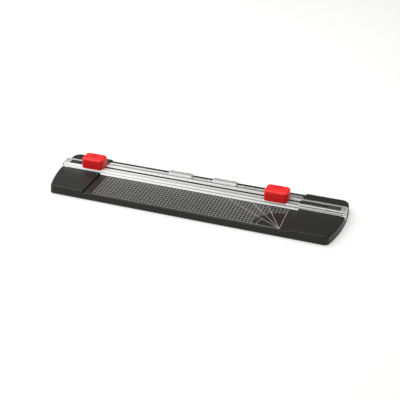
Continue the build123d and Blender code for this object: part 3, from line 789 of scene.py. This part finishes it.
# %% Printed grid: sizes and the bar
bed_low, bed_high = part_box("cutting_strip")
bed_height = bed_high.z
grid_sizes = {
    "Pitch": 5.0 * mm,
    "Left": -137.5 * mm,
    "Right": 137.5 * mm,
    "Front": -47.3 * mm,
    "Back": bed_low.y - 0.2 * mm,
    "Clear Radius": 38.7 * mm,
    "Arc Radius": 32.3 * mm,
    "Line Width": 0.4 * mm,
    "Border Width": 0.5 * mm,
    "Bottom": bed_height - 0.01 * mm,
    "Ink Height": 0.03 * mm,
}
grid = bpy.data.node_groups.new("printed_grid", "GeometryNodeTree")
for name in grid_sizes:
    grid.interface.new_socket(name, in_out="INPUT", socket_type="NodeSocketFloat")
grid.interface.new_socket("Ink", in_out="INPUT", socket_type="NodeSocketMaterial")
grid.interface.new_socket("Print", in_out="OUTPUT", socket_type="NodeSocketGeometry")
given = add(grid, "NodeGroupInput").outputs
cube = add(grid, "GeometryNodeMeshCube", values={"Size": (1.0, 1.0, 1.0)})
bar = add(grid, "GeometryNodeTransform", links={0: cube.outputs[0]},
          values={"Translation": (0.5, 0.0, 0.5)})
printed = add(grid, "GeometryNodeJoinGeometry")
corner = add(grid, "ShaderNodeCombineXYZ",
             links={0: given["Right"], 1: given["Front"], 2: given["Bottom"]})
print("bed at", round(bed_height / mm, 2), "mm, lines back to", round(grid_sizes["Back"] / mm, 2))

# %% [markdown]
# The squares are two rows of lines. A row is a mesh line with a point for each printed line and
# a bar on each point. A row has one line more than it has steps, and a thousandth is added, so
# that rounding can't lose the last line. Near the protractor a line stops at the edge of the
# clear quarter disc. How much shorter it is comes from Pythagoras: the root of the radius
# squared less the square of the line's distance from the corner, and zero where the line passes
# the disc.


# %% Printed grid: the squares
def row_of_lines(low, high, start, end, points_on_x):
    """Lines a pitch apart from low to high, each from start to end, cut by the clear disc."""
    span = add(grid, "ShaderNodeMath", operation="SUBTRACT", links={0: given[high], 1: given[low]})
    steps = add(grid, "ShaderNodeMath", operation="DIVIDE",
                links={0: span.outputs[0], 1: given["Pitch"]})
    one_more = add(grid, "ShaderNodeMath", operation="ADD", values={1: 1.001},
                   links={0: steps.outputs[0]})
    count = add(grid, "ShaderNodeMath", operation="FLOOR", links={0: one_more.outputs[0]})
    first = add(grid, "ShaderNodeCombineXYZ",
                links={0: given["Left"], 1: given["Front"], 2: given["Bottom"]})
    step = add(grid, "ShaderNodeCombineXYZ", links={0 if points_on_x else 1: given["Pitch"]})
    points = add(grid, "GeometryNodeMeshLine",
                 links={"Count": count.outputs[0], "Start Location": first.outputs[0],
                        "Offset": step.outputs[0]})
    index = add(grid, "GeometryNodeInputIndex")
    run = add(grid, "ShaderNodeMath", operation="MULTIPLY",
              links={0: index.outputs[0], 1: given["Pitch"]})
    from_corner = run
    if points_on_x:
        from_corner = add(grid, "ShaderNodeMath", operation="SUBTRACT",
                          links={0: span.outputs[0], 1: run.outputs[0]})
    square = add(grid, "ShaderNodeMath", operation="POWER", values={1: 2.0},
                 links={0: from_corner.outputs[0]})
    disc = add(grid, "ShaderNodeMath", operation="POWER", values={1: 2.0},
               links={0: given["Clear Radius"]})
    rest = add(grid, "ShaderNodeMath", operation="SUBTRACT",
               links={0: disc.outputs[0], 1: square.outputs[0]})
    inside = add(grid, "ShaderNodeMath", operation="MAXIMUM", values={1: 0.0},
                 links={0: rest.outputs[0]})
    cut = add(grid, "ShaderNodeMath", operation="SQRT", links={0: inside.outputs[0]})
    whole = add(grid, "ShaderNodeMath", operation="SUBTRACT",
                links={0: given[end], 1: given[start]})
    length = add(grid, "ShaderNodeMath", operation="SUBTRACT",
                 links={0: whole.outputs[0], 1: cut.outputs[0]})
    size = add(grid, "ShaderNodeCombineXYZ",
               links={0: length.outputs[0], 1: given["Line Width"], 2: given["Ink Height"]})
    placed = points
    turn = (0.0, 0.0, 0.0)
    if points_on_x:
        shift = add(grid, "ShaderNodeCombineXYZ", links={1: cut.outputs[0]})
        placed = add(grid, "GeometryNodeSetPosition",
                     links={"Geometry": points.outputs[0], "Offset": shift.outputs[0]})
        turn = (0.0, 0.0, math.pi / 2)
    bars = add(grid, "GeometryNodeInstanceOnPoints", values={"Rotation": turn},
               links={"Points": placed.outputs[0], "Instance": bar.outputs[0],
                      "Scale": size.outputs[0]})
    grid.links.new(bars.outputs[0], printed.inputs[0])


row_of_lines("Left", "Right", "Front", "Back", points_on_x=True)
row_of_lines("Front", "Back", "Left", "Right", points_on_x=False)
print("squares:", len(grid.nodes), "nodes so far")

# %% [markdown]
# The protractor is a fan of bars from the corner. The first bar's angle and the step between
# bars give every angle, counted from the front line. A bar ends at the back or at the left edge
# of the print, whichever it meets first, so its length is the smaller of the print's depth over
# the sine and its width over the cosine, neither of which may come to zero. The same fan with
# two bars, at 0 and 90 degrees, gives the whole front line and the whole right line, which the
# paper is laid against. Each fan's ink is a little higher than the squares, because where two
# bars cross, faces at the same height would flicker.


# %% Printed grid: the rays and the border
def fan_of_lines(count, first_degrees, step_degrees, lift):
    """Lines from the corner, turned from the front line by first, then by step more each."""
    index = add(grid, "GeometryNodeInputIndex")
    angle = add(grid, "ShaderNodeMath", operation="MULTIPLY_ADD",
                links={0: index.outputs[0]},
                values={1: math.radians(step_degrees), 2: math.radians(first_degrees)})
    depth = add(grid, "ShaderNodeMath", operation="SUBTRACT",
                links={0: given["Back"], 1: given["Front"]})
    width = add(grid, "ShaderNodeMath", operation="SUBTRACT",
                links={0: given["Right"], 1: given["Left"]})
    reaches = []
    for operation, side in (("SINE", depth), ("COSINE", width)):
        share = add(grid, "ShaderNodeMath", operation=operation, links={0: angle.outputs[0]})
        not_zero = add(grid, "ShaderNodeMath", operation="MAXIMUM", values={1: 0.001},
                       links={0: share.outputs[0]})
        reaches.append(add(grid, "ShaderNodeMath", operation="DIVIDE",
                           links={0: side.outputs[0], 1: not_zero.outputs[0]}))
    reach = add(grid, "ShaderNodeMath", operation="MINIMUM",
                links={0: reaches[0].outputs[0], 1: reaches[1].outputs[0]})
    height = add(grid, "ShaderNodeMath", operation="MULTIPLY", values={1: lift},
                 links={0: given["Ink Height"]})
    size = add(grid, "ShaderNodeCombineXYZ",
               links={0: reach.outputs[0], 1: given["Border Width"], 2: height.outputs[0]})
    back = add(grid, "ShaderNodeMath", operation="SUBTRACT", values={0: math.pi},
               links={1: angle.outputs[0]})
    turn = add(grid, "ShaderNodeCombineXYZ", links={2: back.outputs[0]})
    points = add(grid, "GeometryNodeMeshLine", values={"Count": count, "Offset": (0, 0, 0)},
                 links={"Start Location": corner.outputs[0]})
    bars = add(grid, "GeometryNodeInstanceOnPoints",
               links={"Points": points.outputs[0], "Instance": bar.outputs[0],
                      "Rotation": turn.outputs[0], "Scale": size.outputs[0]})
    grid.links.new(bars.outputs[0], printed.inputs[0])


fan_of_lines(count=3, first_degrees=30.0, step_degrees=15.0, lift=1.1)
fan_of_lines(count=2, first_degrees=0.0, step_degrees=90.0, lift=1.2)
print("squares and fans:", len(grid.nodes), "nodes")

# %% [markdown]
# The short arc is a curve with a flat section swept along it. It ends at 32 degrees. The
# section's middle runs on the curve, so the arc is raised by half the ink's height.

# %% Printed grid: the arc
arc_degrees = 32.0
arc_points = 24

arc = add(grid, "GeometryNodeCurveArc", mode="RADIUS", links={"Radius": given["Arc Radius"]},
          values={"Resolution": arc_points, "Start Angle": math.radians(180.0 - arc_degrees),
                  "Sweep Angle": math.radians(arc_degrees)})
section = add(grid, "GeometryNodeCurvePrimitiveQuadrilateral",
              links={"Width": given["Border Width"], "Height": given["Ink Height"]})
ribbon = add(grid, "GeometryNodeCurveToMesh", values={"Fill Caps": True},
             links={"Curve": arc.outputs[0], "Profile Curve": section.outputs[0]})
half = add(grid, "ShaderNodeMath", operation="MULTIPLY", values={1: 0.5},
           links={0: given["Ink Height"]})
raised = add(grid, "ShaderNodeCombineXYZ", links={2: half.outputs[0]})
centre = add(grid, "ShaderNodeVectorMath", operation="ADD",
             links={0: corner.outputs[0], 1: raised.outputs[0]})
laid = add(grid, "GeometryNodeTransform",
           links={0: ribbon.outputs[0], "Translation": centre.outputs[0]})
grid.links.new(laid.outputs[0], printed.inputs[0])
print("arc:", arc_points, "points over", arc_degrees, "degrees")

# %% [markdown]
# At the end of the tree all instances become real mesh, and the ink goes on. The ink is
# off-white and matt, and thin enough to look slightly grey over black. A modifier doesn't travel
# with the part, so a maker object runs the tree once, its result becomes the print's own mesh,
# and the maker goes. The new mesh can start with an empty material slot, which goes as well.

# %% Printed grid: the ink and the mesh
real = add(grid, "GeometryNodeRealizeInstances", links={0: printed.outputs[0]})
marked = add(grid, "GeometryNodeSetMaterial", links={0: real.outputs[0], "Material": given["Ink"]})
add(grid, "NodeGroupOutput", links={0: marked.outputs[0]})

ink, tree, shader = start_finish("pale_pad_print_ink", "#bfbfbb", {"IOR": 1.45, "Roughness": 0.6})

maker = bpy.data.objects.new("grid_maker", bpy.data.meshes.new("grid_maker"))
bpy.context.scene.collection.objects.link(maker)
modifier = maker.modifiers.new("printed_grid", "NODES")
modifier.node_group = grid
for socket in grid.interface.items_tree:
    if socket.in_out == "INPUT":
        modifier[socket.identifier] = ink if socket.name == "Ink" else grid_sizes[socket.name]
graph = bpy.context.evaluated_depsgraph_get()
grid_mesh = bpy.data.meshes.new_from_object(maker.evaluated_get(graph), depsgraph=graph)
grid_mesh.name = "printed_grid"
if grid_mesh.materials[0] is None:
    grid_mesh.materials.pop(index=0)
bpy.data.objects.remove(maker)
printed_grid = bpy.data.objects.new("printed_grid", grid_mesh)
bpy.context.scene.collection.objects.link(printed_grid)
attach(printed_grid, "base")
heights = [vertex.co.z / mm for vertex in grid_mesh.vertices]
print("print:", len(grid_mesh.polygons), "faces,", round(min(heights), 3), "to",
      round(max(heights), 3), "mm high, ink:", list(grid_mesh.materials))

# %% [markdown]
